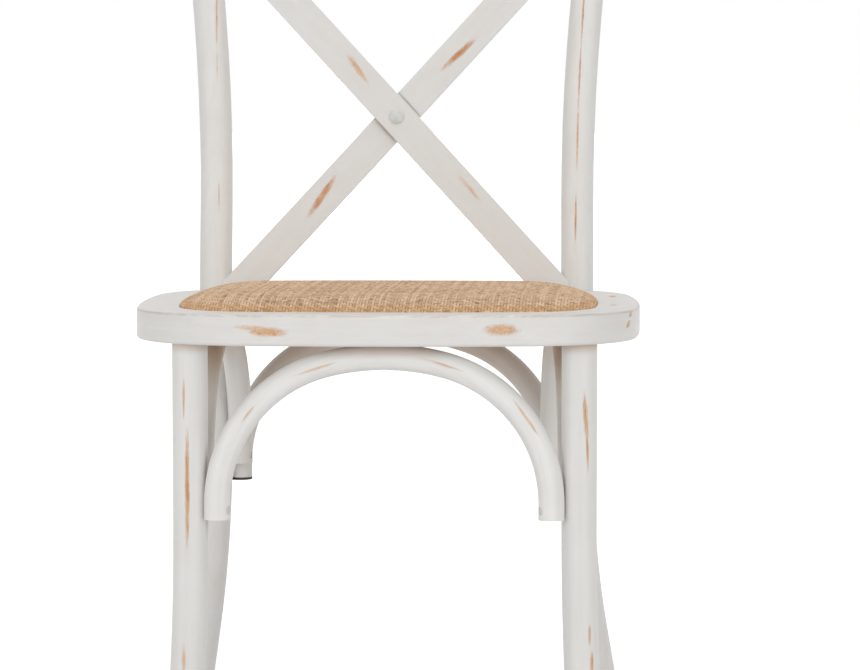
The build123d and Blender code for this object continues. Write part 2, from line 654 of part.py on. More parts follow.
# Fasteners, each kind in one group
for name, screw, seats in (
    ("strip_foot_screws", strip_foot_screw, strip_foot_seats),
    ("strip_top_screws", strip_top_screw, strip_top_seats),
    ("arch_end_screws", arch_end_screw, leg_arch_seats + post_arch_seats),
    ("arch_crown_screws", crown_screw, [front_crown_seat, rear_crown_seat, *side_crown_seats]),
    ("leg_lock_screws", lock_screw, lock_seats),
    ("post_bolts", post_bolt, bolt_seats),
    ("seat_board_screws", board_screw, board_seats),
    ("glide_nails", glide_nail, front_nail_seats + rear_nail_seats),
):
    with BuildPart() as fasteners:
        for seat in seats:
            drive(screw, seat)
    fasteners.part.label = name
    export_step(fasteners.part, f"parts/{name}.step")

# Threaded inserts in the posts for the bolts
with BuildPart() as post_inserts:
    for seat in insert_seats:
        with BuildSketch(seat):
            Circle(INSERT_DIAMETER / 2)
            Circle(post_bolt.shank / 2 + SCREW_GAP, mode=Mode.SUBTRACT)
        extrude(amount=INSERT_LENGTH)
post_inserts.part.label = "post_inserts"
export_step(post_inserts.part, "parts/post_inserts.step")

# Plastic glides under the feet, each moulded round the head of its nail
for name, nail_seat in (
    ("foot_glide_front_left", front_nail_seats[0]),
    ("foot_glide_front_right", front_nail_seats[1]),
    ("foot_glide_rear_left", rear_nail_seats[0]),
    ("foot_glide_rear_right", rear_nail_seats[1]),
):
    with BuildPart() as foot_glide:
        with BuildSketch(Plane((nail_seat.origin.X, nail_seat.origin.Y, 0))):
            Circle(GLIDE_DIAMETER / 2)
        extrude(amount=GLIDE_HEIGHT - FIT_GAP)
        fillet(foot_glide.edges().group_by(Axis.Z)[0], GLIDE_ROUNDING)
        bore(glide_nail, nail_seat, pocket=glide_nail.head_height + SCREW_GAP)
    foot_glide.part.label = name
    export_step(foot_glide.part, f"parts/{name}.step")
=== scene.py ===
import math
from typing import NamedTuple

import bmesh
import bpy
import numpy as np
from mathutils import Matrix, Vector


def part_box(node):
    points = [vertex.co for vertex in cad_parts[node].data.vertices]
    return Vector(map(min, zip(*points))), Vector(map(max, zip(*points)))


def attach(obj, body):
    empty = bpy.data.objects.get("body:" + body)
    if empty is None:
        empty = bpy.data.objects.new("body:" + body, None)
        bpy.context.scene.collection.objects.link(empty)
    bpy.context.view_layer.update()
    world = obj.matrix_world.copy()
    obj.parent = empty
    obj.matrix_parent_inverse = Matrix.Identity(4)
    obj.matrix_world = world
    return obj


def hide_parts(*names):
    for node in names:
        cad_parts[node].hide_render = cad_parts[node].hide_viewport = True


# Bentwood cross-back dining chair, painted off-white and rubbed through in places, with a woven seat.
# Metres, +Z up, the front faces -Y; left and right are as seen from the front.
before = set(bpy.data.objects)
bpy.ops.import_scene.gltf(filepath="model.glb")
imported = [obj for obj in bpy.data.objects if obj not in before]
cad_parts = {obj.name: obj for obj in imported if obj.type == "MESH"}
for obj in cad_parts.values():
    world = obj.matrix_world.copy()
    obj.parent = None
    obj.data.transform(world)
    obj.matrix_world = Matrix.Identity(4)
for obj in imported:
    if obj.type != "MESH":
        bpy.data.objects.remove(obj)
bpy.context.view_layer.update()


# Back hoop: rear legs, posts and top bow in one steamed and bent beech rod. The seat ring is bolted in
# between its posts. Its coat of off-white paint is rubbed through in thin lines along the grain.
class Tone:
    """A value in a material. Arithmetic on it adds Math nodes, and node() adds any other node."""

    def __init__(self, socket):
        self.socket = socket

    def node(self, kind, settings, inputs, output=0):
        tree = self.socket.id_data
        made = tree.nodes.new(kind)
        for name, value in settings.items():
            setattr(made, name, value)
        for name, value in inputs.items():
            if isinstance(value, Tone):
                tree.links.new(value.socket, made.inputs[name])
            else:
                made.inputs[name].default_value = value
        return Tone(made.outputs[output])

    def math(self, operation, *others):
        """A Math node that takes this value first."""
        return self.node("ShaderNodeMath", {"operation": operation}, dict(enumerate((self, *others))))

    def math_after(self, operation, other):
        """A Math node that takes this value second."""
        return self.node("ShaderNodeMath", {"operation": operation}, {0: other, 1: self})

    def __add__(self, other):
        return self.math("ADD", other)

    def __radd__(self, other):
        return self.math_after("ADD", other)

    def __sub__(self, other):
        return self.math("SUBTRACT", other)

    def __rsub__(self, other):
        return self.math_after("SUBTRACT", other)

    def __mul__(self, other):
        return self.math("MULTIPLY", other)

    def __rmul__(self, other):
        return self.math_after("MULTIPLY", other)

    def __truediv__(self, other):
        return self.math("DIVIDE", other)

    def __rtruediv__(self, other):
        return self.math_after("DIVIDE", other)

    def vector(self, operation, other, output=0):
        return self.node("ShaderNodeVectorMath", {"operation": operation}, {0: self, 1: other}, output)

    def part(self, axis):
        return self.node("ShaderNodeSeparateXYZ", {}, {0: self}, axis)

    def step(self, low, high):
        """0 below low and 1 above high, with a smooth rise between them."""
        bounds = {"Value": self, "From Min": low, "From Max": high}
        return self.node("ShaderNodeMapRange", {"interpolation_type": "SMOOTHSTEP"}, bounds)

    def mix(self, first, second):
        """A colour from first to second, with this value as the share of second."""
        return self.node("ShaderNodeMix", {"data_type": "RGBA"}, {0: self, 6: first, 7: second}, 2)

    def noise(self, stretch, detail, roughness=0.6):
        spread = self.vector("MULTIPLY", stretch)
        values = {"Vector": spread, "Scale": 1.0, "Detail": detail, "Roughness": roughness}
        return self.node("ShaderNodeTexNoise", {}, values)

    def feed(self, socket):
        socket.id_data.links.new(self.socket, socket)


def join(x, y, z):
    return x.node("ShaderNodeCombineXYZ", {}, {0: x, 1: y, 2: z})


def new_finish(name):
    """A new material, its shader and the place on the object in metres."""
    finish = bpy.data.materials.new(name)
    finish.use_nodes = True
    tree = finish.node_tree
    shader = tree.nodes["Principled BSDF"]
    place = Tone(tree.nodes.new("ShaderNodeTexCoord").outputs["Object"])
    return finish, shader, place


def raise_surface(shader, height, strength, depth):
    settings = {"Strength": strength, "Distance": depth, "Height": height}
    height.node("ShaderNodeBump", {}, settings).feed(shader.inputs["Normal"])


def dress(node, finish):
    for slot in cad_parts[node].material_slots:
        slot.material = finish


class Rub(NamedTuple):
    """A rub in the paint: a line on the surface, its width, and its depth, where 1 is bare wood."""

    start: tuple
    end: tuple
    width: float
    depth: float


COOL_PAINT = (0.790, 0.785, 0.765, 1)
PAINT_SHADE = (0.690, 0.665, 0.630, 1)
# Warm brown for the painted shade under the seat ring.
UNDER_SEAT_PAINTED_SHADE = (0.480, 0.295, 0.180, 1)
# Dark brown for seams: grime, and painted contact shadow between touching pieces.
SEAM_GRIME_AND_SHADOW = (0.240, 0.160, 0.120, 1)
# Brown for the worn upper edge, and for the painted shade on the ring's top front.
EDGE_GRIME_AND_SHADE = (0.400, 0.290, 0.220, 1)
RUBBED_WOOD = (0.520, 0.225, 0.085, 1)
RUBBED_WOOD_PALE = (0.690, 0.430, 0.240, 1)
PAINT_ROUGHNESS = 0.48
WOOD_ROUGHNESS = 0.72
RING_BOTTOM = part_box("seat_frame")[0].z
FIBRE_GRAIN = (14, 420, 420)  # waves for each metre along the wood and the two ways across it
BRUSH_GRAIN = (5, 130, 130)
TORN_GRAIN = (60, 420, 420)
FLECK_GRAIN = (110, 1500, 1500)
CHANCE_GRAIN = (7, 75, 75)
CLOUDS = (16, 16, 16)
TORN_EDGE = 1.2
FLECKED_EDGE = 1.1
RUB_CORE = -0.25
RUB_FADE = 1.45
BACK_WEAR = 0.75
BACK_WEAR_START = 0.63
BACK_WEAR_FULL = 0.71
SHADE_LEVEL = 0.25
UNDER_SEAT_SHADE_STRENGTH = 0.56
UNDER_SEAT_SHADE_FADE = 0.0005
PAINT_RELIEF = 0.0004


def rub_shape(place, rub, ragged):
    """1 in the middle of a rub and 0 outside it, with an edge that is torn along the grain."""
    start = np.array(rub.start)
    end = np.array(rub.end)
    half = (end - start) / 2
    half_length = float(np.linalg.norm(half))
    offset = place.vector("SUBTRACT", tuple((start + end) / 2))
    along = offset.vector("DOT_PRODUCT", tuple(half / half_length), 1)
    distance = offset.vector("LENGTH", (0, 0, 0), 1)
    aside = distance * distance - along * along
    reach = (along / half_length) * (along / half_length) + aside / (rub.width / 2) ** 2
    return (1 - (reach + ragged).step(RUB_CORE, RUB_FADE)) * rub.depth


def painted_wood(name, paint, grain, rubs, shade_from, lines=(), seams=(), edge_wear_and_shade=None):
    """Brushed paint over bentwood. grain gives a place whose X runs along the wood.

    From a given height up to the seat ring's underside, the coat is darkened towards warm brown: painted
    shade under the seat. Lines are thin rubs on the front. Seams are dark lines where another piece lies
    against this one, partly grime and partly painted contact shadow. Both are placed in the front view,
    with 0 for Y. An edge mask, if given, darkens the coat with wear, and with painted shade where it
    adds some.
    """
    finish, shader, place = new_finish(name)
    run = grain(place)
    fibre = run.noise(FIBRE_GRAIN, 3)
    brush = run.noise(BRUSH_GRAIN, 2)
    cloud = place.noise(CLOUDS, 2)
    torn = run.noise(TORN_GRAIN, 3)
    fleck = run.noise(FLECK_GRAIN, 2)
    ragged = (torn - 0.5) * TORN_EDGE + (fleck - 0.5) * FLECKED_EDGE

    facing = place.node("ShaderNodeNewGeometry", {}, {}, "Normal")
    turned_away = facing.part(1).step(-0.15, 0.35)
    chance = run.noise(CHANCE_GRAIN, 2, 0.5)
    worn_back = (chance + (torn - 0.5) * 0.12).step(BACK_WEAR_START, BACK_WEAR_FULL)
    bare = worn_back * turned_away * BACK_WEAR
    for rub in rubs:
        bare = bare.math("MAXIMUM", rub_shape(place, rub, ragged))
    front_view = place.vector("MULTIPLY", (1, 0, 1))
    towards_front = 1 - facing.part(1).step(-0.6, -0.2)
    for line in lines:
        bare = bare.math("MAXIMUM", rub_shape(front_view, line, ragged) * towards_front)

    shade = (fibre - 0.5) * 0.50 + (brush - 0.5) * 0.70 + (cloud - 0.5) * 0.70 + SHADE_LEVEL
    coat = shade.node("ShaderNodeClamp", {}, {0: shade}).mix(paint, PAINT_SHADE)
    height = place.part(2)
    # Painted shade: under the seat ring the coat is darkened towards warm brown, rising from a given
    # height.
    above_painted_shade = height.step(RING_BOTTOM, RING_BOTTOM + UNDER_SEAT_SHADE_FADE)
    painted_under_seat_shade = height.step(shade_from, RING_BOTTOM) * (1 - above_painted_shade)
    coat = (painted_under_seat_shade * (UNDER_SEAT_SHADE_STRENGTH + (cloud - 0.5) * 0.5)).mix(coat, UNDER_SEAT_PAINTED_SHADE)
    # The edge mask darkens the coat towards brown: wear on the edge, and painted shade where it adds
    # some.
    if edge_wear_and_shade is not None:
        coat = (edge_wear_and_shade(place) * (torn + brush - 0.35).step(0.35, 0.90)).mix(coat, EDGE_GRIME_AND_SHADE)
    # Seams darken the coat: partly grime, partly painted contact shadow where pieces touch.
    for seam in seams:
        coat = rub_shape(front_view, seam, (torn - 0.5) * 0.5).mix(coat, SEAM_GRIME_AND_SHADOW)
    pale = (fibre + (fleck - 0.5) * 0.6 + (cloud - 0.5)).step(0.25, 0.75)
    wood = pale.mix(RUBBED_WOOD, RUBBED_WOOD_PALE)
    bare.step(-0.05, 1.0).mix(coat, wood).feed(shader.inputs["Base Color"])
    roughness = PAINT_ROUGHNESS + (brush - 0.5) * 0.15 + bare * (WOOD_ROUGHNESS - PAINT_ROUGHNESS)
    roughness.feed(shader.inputs["Roughness"])
    raise_surface(shader, fibre * 0.5 + brush - bare * 1.5, 0.22, PAINT_RELIEF)
    return finish


TOP_BOW_START = 0.80
TOP_BOW_END = 0.86
LINE_WIDTH = 0.0024


def hoop_grain(place):
    """Upwards in the legs and posts, and across in the top bow."""
    x, y, z = (place.part(axis) for axis in range(3))
    bow = z.step(TOP_BOW_START, TOP_BOW_END)
    along = z + bow * (x - z)
    across = x + bow * (z - x)
    return join(along, across, y)


HOOP_LINES = [
    Rub((0.1990, 0, 0.805), (0.1931, 0, 0.705), LINE_WIDTH, 0.90),
    Rub((0.1941, 0, 0.728), (0.1904, 0, 0.640), LINE_WIDTH, 0.75),
    Rub((0.1908, 0, 0.655), (0.1890, 0, 0.580), LINE_WIDTH, 0.90),
    Rub((0.1885, 0, 0.562), (0.1876, 0, 0.508), LINE_WIDTH, 0.95),
    Rub((-0.1910, 0, 0.790), (-0.1900, 0, 0.710), LINE_WIDTH, 0.75),
    Rub((-0.1899, 0, 0.712), (-0.1890, 0, 0.675), 0.0018, 0.50),
    Rub((-0.1864, 0, 0.574), (-0.1860, 0, 0.542), 0.0020, 0.60),
]
# Painted shade under the seat starts at this height.
UNDER_SEAT = 0.37
hoop_paint = painted_wood("hoop_paint", COOL_PAINT, hoop_grain, [], UNDER_SEAT, lines=HOOP_LINES)
dress("back_hoop", hoop_paint)


# Front legs: turned beech rods that sweep out a little at the foot, each glued by a tenon into the ring.
# They have the hoop's paint, rubbed through in long lines where shoes and cloths pass.
def upright_grain(place):
    x, y, z = (place.part(axis) for axis in range(3))
    return join(z, x, y)


LEFT_LEG_RUBS = [
    Rub((-0.1906, -0.2137, 0.396), (-0.1907, -0.2137, 0.357), 0.0028, 0.75),
    Rub((-0.1875, -0.2143, 0.348), (-0.1880, -0.2144, 0.230), 0.0052, 1.00),
    Rub((-0.1917, -0.2158, 0.142), (-0.1917, -0.2166, 0.110), 0.0042, 0.85),
]
RIGHT_LEG_RUBS = [
    Rub((0.1906, -0.2137, 0.383), (0.1930, -0.2127, 0.335), 0.0055, 1.00),
    Rub((0.1925, -0.2130, 0.350), (0.1945, -0.2122, 0.304), 0.0030, 0.90),
    Rub((0.1962, -0.2131, 0.162), (0.1962, -0.2139, 0.140), 0.0032, 0.85),
    Rub((0.1985, -0.2132, 0.136), (0.1985, -0.2140, 0.112), 0.0044, 0.95),
]
# Painted shade at the top of the legs, under the ring, starts at this height.
LEG_TOP = 0.417
LEFT_LEG_SEAMS = [Rub((-0.1700, 0, 0.330), (-0.1697, 0, 0.244), 0.0040, 0.55)]
RIGHT_LEG_SEAMS = [Rub((0.1720, 0, 0.304), (0.1720, 0, 0.258), 0.0026, 0.55)]
for side, rubs, seams in (
    ("left", LEFT_LEG_RUBS, LEFT_LEG_SEAMS),
    ("right", RIGHT_LEG_RUBS, RIGHT_LEG_SEAMS),
):
    leg_paint = painted_wood(side + "_leg_paint", COOL_PAINT, upright_grain, rubs, LEG_TOP, seams=seams)
    dress("front_leg_" + side, leg_paint)


# Seat ring: a beech strip bent into a ring, bolted to the posts, with a rabbet inside it for the seat
# board. The paint is thin along its upper edge and rubbed through to the wood in places. The front of
# its top is a little darker, partly wear and partly painted shade.
ring_low, ring_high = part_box("seat_frame")
seat_middle = (ring_low.y + ring_high.y) / 2
WARM_PAINT = (0.780, 0.766, 0.742, 1)
RING_TURN_LENGTH = 0.21  # wood along the ring for each radian round its middle
EDGE_ROUNDING = 0.0035
EDGE_LINE = 0.0012
EDGE_LINE_START = 0.0001
EDGE_WEAR = 0.50
FRONT_TOP_WEAR_AND_SHADE = 0.22
FRONT_TOP_START = -0.235
FRONT_TOP_END = -0.205


def from_bend(x, y):
    """How far a place lies from the middle of a bend."""
    squares = x * x + y * y
    return squares.math("SQRT")


def ring_grain(place):
    x = place.part(0)
    y = place.part(1) - seat_middle
    return join(y.math("ARCTAN2", x) * RING_TURN_LENGTH, from_bend(x, y), place.part(2))


def upper_edge_wear_and_shade(place):
    """The worn line where the ring's rounded edge meets its top, and a fainter darkening of the top's
    front, partly wear and partly painted shade.
    """
    below_top = ring_high.z - place.part(2)
    below_line = below_top.step(EDGE_LINE_START, EDGE_LINE)
    line = below_line * (1 - below_top.step(EDGE_LINE, EDGE_ROUNDING))
    at_front = 1 - place.part(1).step(FRONT_TOP_START, FRONT_TOP_END)
    front_top_wear_and_shade = (1 - below_line) * at_front
    return line * EDGE_WEAR + front_top_wear_and_shade * FRONT_TOP_WEAR_AND_SHADE


RING_RUBS = [
    Rub((-0.141, -0.2444, 0.4470), (-0.098, -0.2477, 0.4440), 0.0060, 0.7),
    Rub((-0.128, -0.2458, 0.4430), (-0.089, -0.2482, 0.4415), 0.0100, 1.0),
    Rub((0.094, -0.2479, 0.4445), (0.129, -0.2454, 0.4445), 0.0125, 0.9),
    Rub((0.2345, -0.163, 0.4566), (0.2330, -0.174, 0.4520), 0.0065, 1.0),
    Rub((0.2340, -0.169, 0.4480), (0.2315, -0.181, 0.4420), 0.0065, 0.9),
    Rub((0.2235, 0.018, 0.4585), (0.2245, 0.058, 0.4585), 0.0095, 0.75),
    Rub((0.2205, -0.112, 0.4585), (0.2215, -0.078, 0.4585), 0.0090, 0.50),
]
ring_paint = painted_wood(
    "ring_paint", WARM_PAINT, ring_grain, RING_RUBS, RING_BOTTOM, edge_wear_and_shade=upper_edge_wear_and_shade
)
dress("seat_frame", ring_paint)


# Arches: thin beech rods bent into braces, screwed to the legs at their ends and to the seat at their
# crowns. They have the hoop's paint, with painted shade under the seat, and the front arch's paint is
# made lighter as painted light. The rear arch's ends are dipped in black sealer.
rear_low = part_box("rear_arch")[0]
side_low, side_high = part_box("side_arch_left")
ARCH_TURN_LENGTH = 0.15  # wood along an arch for each radian round the middle of its bend
ARCH_SPRING = 0.275
# Heights from which the arches get painted shade under the seat.
ARCH_TOP = 0.413
REAR_SHADE = 0.31
# Lighter than the other paints: painted light on the front arch, which sits in the ring's shade.
ARCH_PAINT_WITH_PAINTED_LIGHT = (0.870, 0.865, 0.845, 1)
SEALED_END = 0.0026
SEALED_FADE = 0.0003
SEALER = (0.012, 0.011, 0.010, 1)


def cross_arch_grain(place):
    x = place.part(0)
    rise = place.part(2) - ARCH_SPRING
    return join(x.math("ARCTAN2", rise) * ARCH_TURN_LENGTH, from_bend(x, rise), place.part(1))


def side_arch_grain(place):
    y = place.part(1) - (side_low.y + side_high.y) / 2
    rise = place.part(2) - ARCH_SPRING
    return join(y.math("ARCTAN2", rise) * ARCH_TURN_LENGTH, from_bend(y, rise), place.part(0))


FRONT_ARCH_LINES = [
    Rub((-0.0875, 0, 0.3980), (-0.0430, 0, 0.4126), 0.0034, 0.65),
    Rub((-0.1360, 0, 0.3530), (-0.1222, 0, 0.3710), 0.0030, 0.65),
    Rub((0.0355, 0, 0.4163), (0.0765, 0, 0.4032), 0.0030, 0.65),
    Rub((0.1222, 0, 0.3778), (0.1478, 0, 0.3412), 0.0032, 0.70),
]
front_arch_paint = painted_wood(
    "front_arch_paint", ARCH_PAINT_WITH_PAINTED_LIGHT, cross_arch_grain, [], ARCH_TOP, lines=FRONT_ARCH_LINES
)
dress("front_arch", front_arch_paint)
for side_arch in ("side_arch_left", "side_arch_right"):
    dress(side_arch, painted_wood(side_arch + "_paint", WARM_PAINT, side_arch_grain, [], UNDER_SEAT))
rear_paint = painted_wood("rear_arch_paint", WARM_PAINT, cross_arch_grain, [], REAR_SHADE)
rear_shader = rear_paint.node_tree.nodes["Principled BSDF"]
rear_coat = Tone(rear_shader.inputs["Base Color"].links[0].from_socket)
rear_place = rear_coat.node("ShaderNodeTexCoord", {}, {}, "Object")
sealed_top = rear_low.z + SEALED_END
sealed = 1 - rear_place.part(2).step(sealed_top, sealed_top + SEALED_FADE)
sealed.mix(rear_coat, SEALER).feed(rear_shader.inputs["Base Color"])
dress("rear_arch", rear_paint)


# Crossed strips: two flat beech strips bowed apart where they cross, coped to the hoop and screwed at
# their ends. The strip from the left shoulder lies in front. Each is rubbed above and below the rivet.
STRIP_PAINT = (0.750, 0.746, 0.728, 1)
STRIP_RISE = 0.74
STRIP_RUN = 0.67


def strip_grain(lean):
    """Along a strip that runs up to the right (lean 1) or to the left (lean -1)."""

    def grain(place):
        x, y, z = (place.part(axis) for axis in range(3))
        along = z * STRIP_RISE + x * (STRIP_RUN * lean)
        across = z * (-STRIP_RUN * lean) + x * STRIP_RISE
        return join(along, across, y)

    return grain


FRONT_STRIP_RUBS = [
    Rub((-0.0600, 0.1776, 0.7162), (-0.0290, 0.1660, 0.6720), 0.0085, 1.0),
    Rub((0.0560, 0.1560, 0.5880), (0.0900, 0.1485, 0.5500), 0.0075, 0.9),
]
REAR_STRIP_RUBS = [
    Rub((0.0455, 0.1755, 0.6876), (0.0850, 0.1804, 0.7238), 0.0072, 1.0),
    Rub((-0.0930, 0.1501, 0.5345), (-0.0630, 0.1576, 0.5790), 0.0080, 1.0),
]
REAR_STRIP_SEAMS = [
    Rub((-0.0037, 0, 0.6712), (0.0310, 0, 0.6333), 0.0022, 0.55),
    Rub((-0.0293, 0, 0.6437), (0.0047, 0, 0.6068), 0.0020, 0.55),
]
for strip, lean, rubs, seams in (
    ("cross_strip_front", -1, FRONT_STRIP_RUBS, []),
    ("cross_strip_rear", 1, REAR_STRIP_RUBS, REAR_STRIP_SEAMS),
):
    strip_paint = painted_wood(
        strip + "_paint", STRIP_PAINT, strip_grain(lean), rubs, RING_BOTTOM, seams=seams
    )
    dress(strip, strip_paint)


# Rivet and fasteners: a domed steel rivet through the crossing, painted with the chair, on a washer.
# The arches' end screws are painted over too. The other screws, bolts and nails are zinc-plated steel,
# sunk below the surface, and the posts' inserts are brass.
RIVET_PAINT = (0.670, 0.692, 0.684, 1)
RIVET_PAINT_WORN = (0.610, 0.628, 0.620, 1)
ZINC = (0.400, 0.410, 0.420, 1)
ZINC_DULL = (0.300, 0.300, 0.295, 1)
BRASS = (0.480, 0.300, 0.085, 1)
BRASS_DULL = (0.360, 0.215, 0.060, 1)
METAL_RELIEF = 0.0002
PAINT_SPOTS = 260  # for each metre
PLATING_SPOTS = 600


def fastener_finish(name, bright, dull, metallic, roughness, spots):
    finish, shader, place = new_finish(name)
    cloud = place.noise((spots, spots, spots), 3)
    cloud.step(0.3, 0.7).mix(bright, dull).feed(shader.inputs["Base Color"])
    (roughness + (cloud - 0.5) * 0.2).feed(shader.inputs["Roughness"])
    shader.inputs["Metallic"].default_value = metallic
    raise_surface(shader, cloud, 0.15, METAL_RELIEF)
    return finish


rivet_paint = fastener_finish("rivet_paint", RIVET_PAINT, RIVET_PAINT_WORN, 0, 0.38, PAINT_SPOTS)
dress("cross_rivet", rivet_paint)
screw_paint = fastener_finish(
    "screw_paint", COOL_PAINT, PAINT_SHADE, 0, PAINT_ROUGHNESS, PAINT_SPOTS
)
dress("arch_end_screws", screw_paint)
zinc = fastener_finish("zinc_plate", ZINC, ZINC_DULL, 1, 0.40, PLATING_SPOTS)
for fastener in (
    "rivet_washer",
    "strip_foot_screws",
    "strip_top_screws",
    "arch_crown_screws",
    "leg_lock_screws",
    "post_bolts",
    "seat_board_screws",
    "glide_nails",
):
    dress(fastener, zinc)
brass = fastener_finish("insert_brass", BRASS, BRASS_DULL, 1, 0.35, PLATING_SPOTS)
dress("post_inserts", brass)


# Seat board: birch plywood that drops into the ring and is screwed up through its rabbet. It is left
# bare, so its underside shows the face veneer's grain, and its edge the dark and pale layers.
VENEER = (0.560, 0.400, 0.235, 1)
VENEER_DARK = (0.400, 0.255, 0.135, 1)
VENEER_LAYER = 0.0028
VENEER_GRAIN = (9, 90, 4)
VENEER_ROUGHNESS = 0.62
GRAIN_SHARE = 0.6
LAYER_SHARE = 0.4
VENEER_RELIEF = 0.0003
board_finish, board_shader, board_place = new_finish("birch_plywood")
veneer_grain = board_place.noise(VENEER_GRAIN, 4)
layer = (board_place.part(2) / VENEER_LAYER).math("PINGPONG", 1)
board_facing = board_place.node("ShaderNodeNewGeometry", {}, {}, "Normal")
on_edge = 1 - board_facing.part(2).math("ABSOLUTE").step(0.4, 0.6)
layer_tone = on_edge * layer.step(0.35, 0.65) * LAYER_SHARE
board_tone = veneer_grain.step(0.3, 0.75) * GRAIN_SHARE + layer_tone
board_tone.mix(VENEER, VENEER_DARK).feed(board_shader.inputs["Base Color"])
(VENEER_ROUGHNESS + (veneer_grain - 0.5) * 0.2).feed(board_shader.inputs["Roughness"])
raise_surface(board_shader, veneer_grain, 0.2, VENEER_RELIEF)
dress("seat_board", board_finish)


# Woven seat: split rattan in a fine twill, pressed over a crowned filler on the board, with its strands
# turned down into the gap inside the ring. Each strand has its own tone and the turned edge is deeper.
# The gaps between strands are darkened with painted shade.
pad_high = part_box("woven_seat")[1]
CORNER_RADIUS = 0.120
EDGE_BOW = math.radians(6)
PAD_EDGE = 0.459
PAD_SHOULDER = 0.125
PAD_FULLNESS = 5.0  # how fast the crown rises from its edge
STRAND = 0.0030
STRAND_RELIEF = 0.00070
WEAVE_SKEW = math.radians(-2.4)
TWILL = 4
ring_half_width = (ring_high.x - ring_low.x) / 2
ring_half_depth = (ring_high.y - ring_low.y) / 2
pad_inset = ring_high.x - pad_high.x
bow_slope = math.tan(EDGE_BOW / 2)
square_x = ring_half_width - CORNER_RADIUS
square_y = ring_half_depth - CORNER_RADIUS
corner_x = (square_x - square_y * bow_slope) / (1 - bow_slope**2)
corner_y = square_y - corner_x * bow_slope
side_radius = CORNER_RADIUS + corner_y / math.sin(EDGE_BOW)
front_radius = CORNER_RADIUS + corner_x / math.sin(EDGE_BOW)


def inside_pad(x, y):
    """How far a place lies inside the pad's outline, and the way outwards from it."""
    across = np.abs(x)
    along = np.abs(y)
    bearing = np.arctan2(along - corner_y, across - corner_x)
    at_side = bearing < EDGE_BOW
    at_front = bearing > math.pi / 2 - EDGE_BOW
    deep = (across < corner_x) & (along < corner_y)
    side_gap = side_radius - np.hypot(across - ring_half_width + side_radius, along)
    front_gap = front_radius - np.hypot(across, along - ring_half_depth + front_radius)
    at_side = np.where(deep, side_gap < front_gap, at_side)
    at_front = np.where(deep, side_gap >= front_gap, at_front)
    centre_x = np.where(at_side, ring_half_width - side_radius, np.where(at_front, 0, corner_x))
    centre_y = np.where(at_side, 0, np.where(at_front, ring_half_depth - front_radius, corner_y))
    radius = np.where(at_side, side_radius, np.where(at_front, front_radius, CORNER_RADIUS))
    reach = np.hypot(across - centre_x, along - centre_y)
    out_x = np.sign(x) * (across - centre_x) / reach
    out_y = np.sign(y) * (along - centre_y) / reach
    return radius - reach - pad_inset, out_x, out_y


def crown(inset):
    """Height of the crowned top at this distance from the pad's edge."""
    share = np.clip(inset / PAD_SHOULDER, 0, 1)
    return PAD_EDGE + (pad_high.z - STRAND_RELIEF - PAD_EDGE) * (1 - (1 - share) ** PAD_FULLNESS)


def lengthways_up(column, row):
    """Whether the lengthways strand is on top where these two strands cross."""
    return (column + row) % TWILL < TWILL // 2


def twill_relief(across, along):
    """Height of the weave at half steps of a strand: strands' backs are 1, gaps between them near -1."""
    column = across // 2
    row = along // 2
    here = lengthways_up(column, row)
    left = lengthways_up(column - 1, row)
    below = lengthways_up(column, row - 1)
    float_across = np.where(~here & ~left, 0.85, np.where(here & left, -0.9, -0.1))
    float_along = np.where(here & below, 0.85, np.where(~here & ~below, -0.9, -0.1))
    on_column = across % 2 == 1
    on_row = along % 2 == 1
    between = np.where(on_row, float_across, np.where(on_column, float_along, -0.9))
    return np.where(on_column & on_row, 1.0, between)


half_step = STRAND / 2
count = int(ring_half_width / half_step)
steps = np.arange(-count, count + 1)
step_x, step_y = np.meshgrid(steps, steps, indexing="ij")
skew_x = (step_x * math.cos(WEAVE_SKEW) - step_y * math.sin(WEAVE_SKEW)) * half_step
skew_y = (step_x * math.sin(WEAVE_SKEW) + step_y * math.cos(WEAVE_SKEW)) * half_step
inset, out_x, out_y = inside_pad(skew_x, skew_y)
outside = np.minimum(inset, 0)
top_x = skew_x + out_x * outside
top_y = skew_y + out_y * outside
top_z = crown(inset) + twill_relief(step_x, step_y) * STRAND_RELIEF

inside = inset > 0
cell = inside[:-1, :-1] | inside[1:, :-1] | inside[1:, 1:] | inside[:-1, 1:]
number = np.arange(inset.size).reshape(inset.shape)
corners = [number[:-1, :-1], number[1:, :-1], number[1:, 1:], number[:-1, 1:]]
quads = np.stack(corners, axis=-1)[cell]
used, quads = np.unique(quads, return_inverse=True)
points = np.stack([top_x, top_y + seat_middle, top_z], axis=-1).reshape(-1, 3)[used]
weave_mesh = bpy.data.meshes.new("woven_rattan")
weave_mesh.from_pydata(points.tolist(), [], quads.reshape(-1, 4).tolist())

WALL_DEPTHS = (0.4580, 0.4566, 0.4544, 0.4512)
shell = bmesh.new()
shell.from_mesh(weave_mesh)
rim = [edge for edge in shell.edges if edge.is_boundary]
for depth in WALL_DEPTHS:
    made = bmesh.ops.extrude_edge_only(shell, edges=rim)["geom"]
    rim = [part for part in made if isinstance(part, bmesh.types.BMEdge)]
    for part in made:
        if isinstance(part, bmesh.types.BMVert):
            part.co.z = depth
bmesh.ops.edgeloop_fill(shell, edges=rim)
bmesh.ops.recalc_face_normals(shell, faces=shell.faces)
shell.to_mesh(weave_mesh)
shell.free()
smooth = [len(face.vertices) == 4 for face in weave_mesh.polygons]
weave_mesh.polygons.foreach_set("use_smooth", smooth)
woven = bpy.data.objects.new("woven_rattan_seat", weave_mesh)
bpy.context.scene.collection.objects.link(woven)

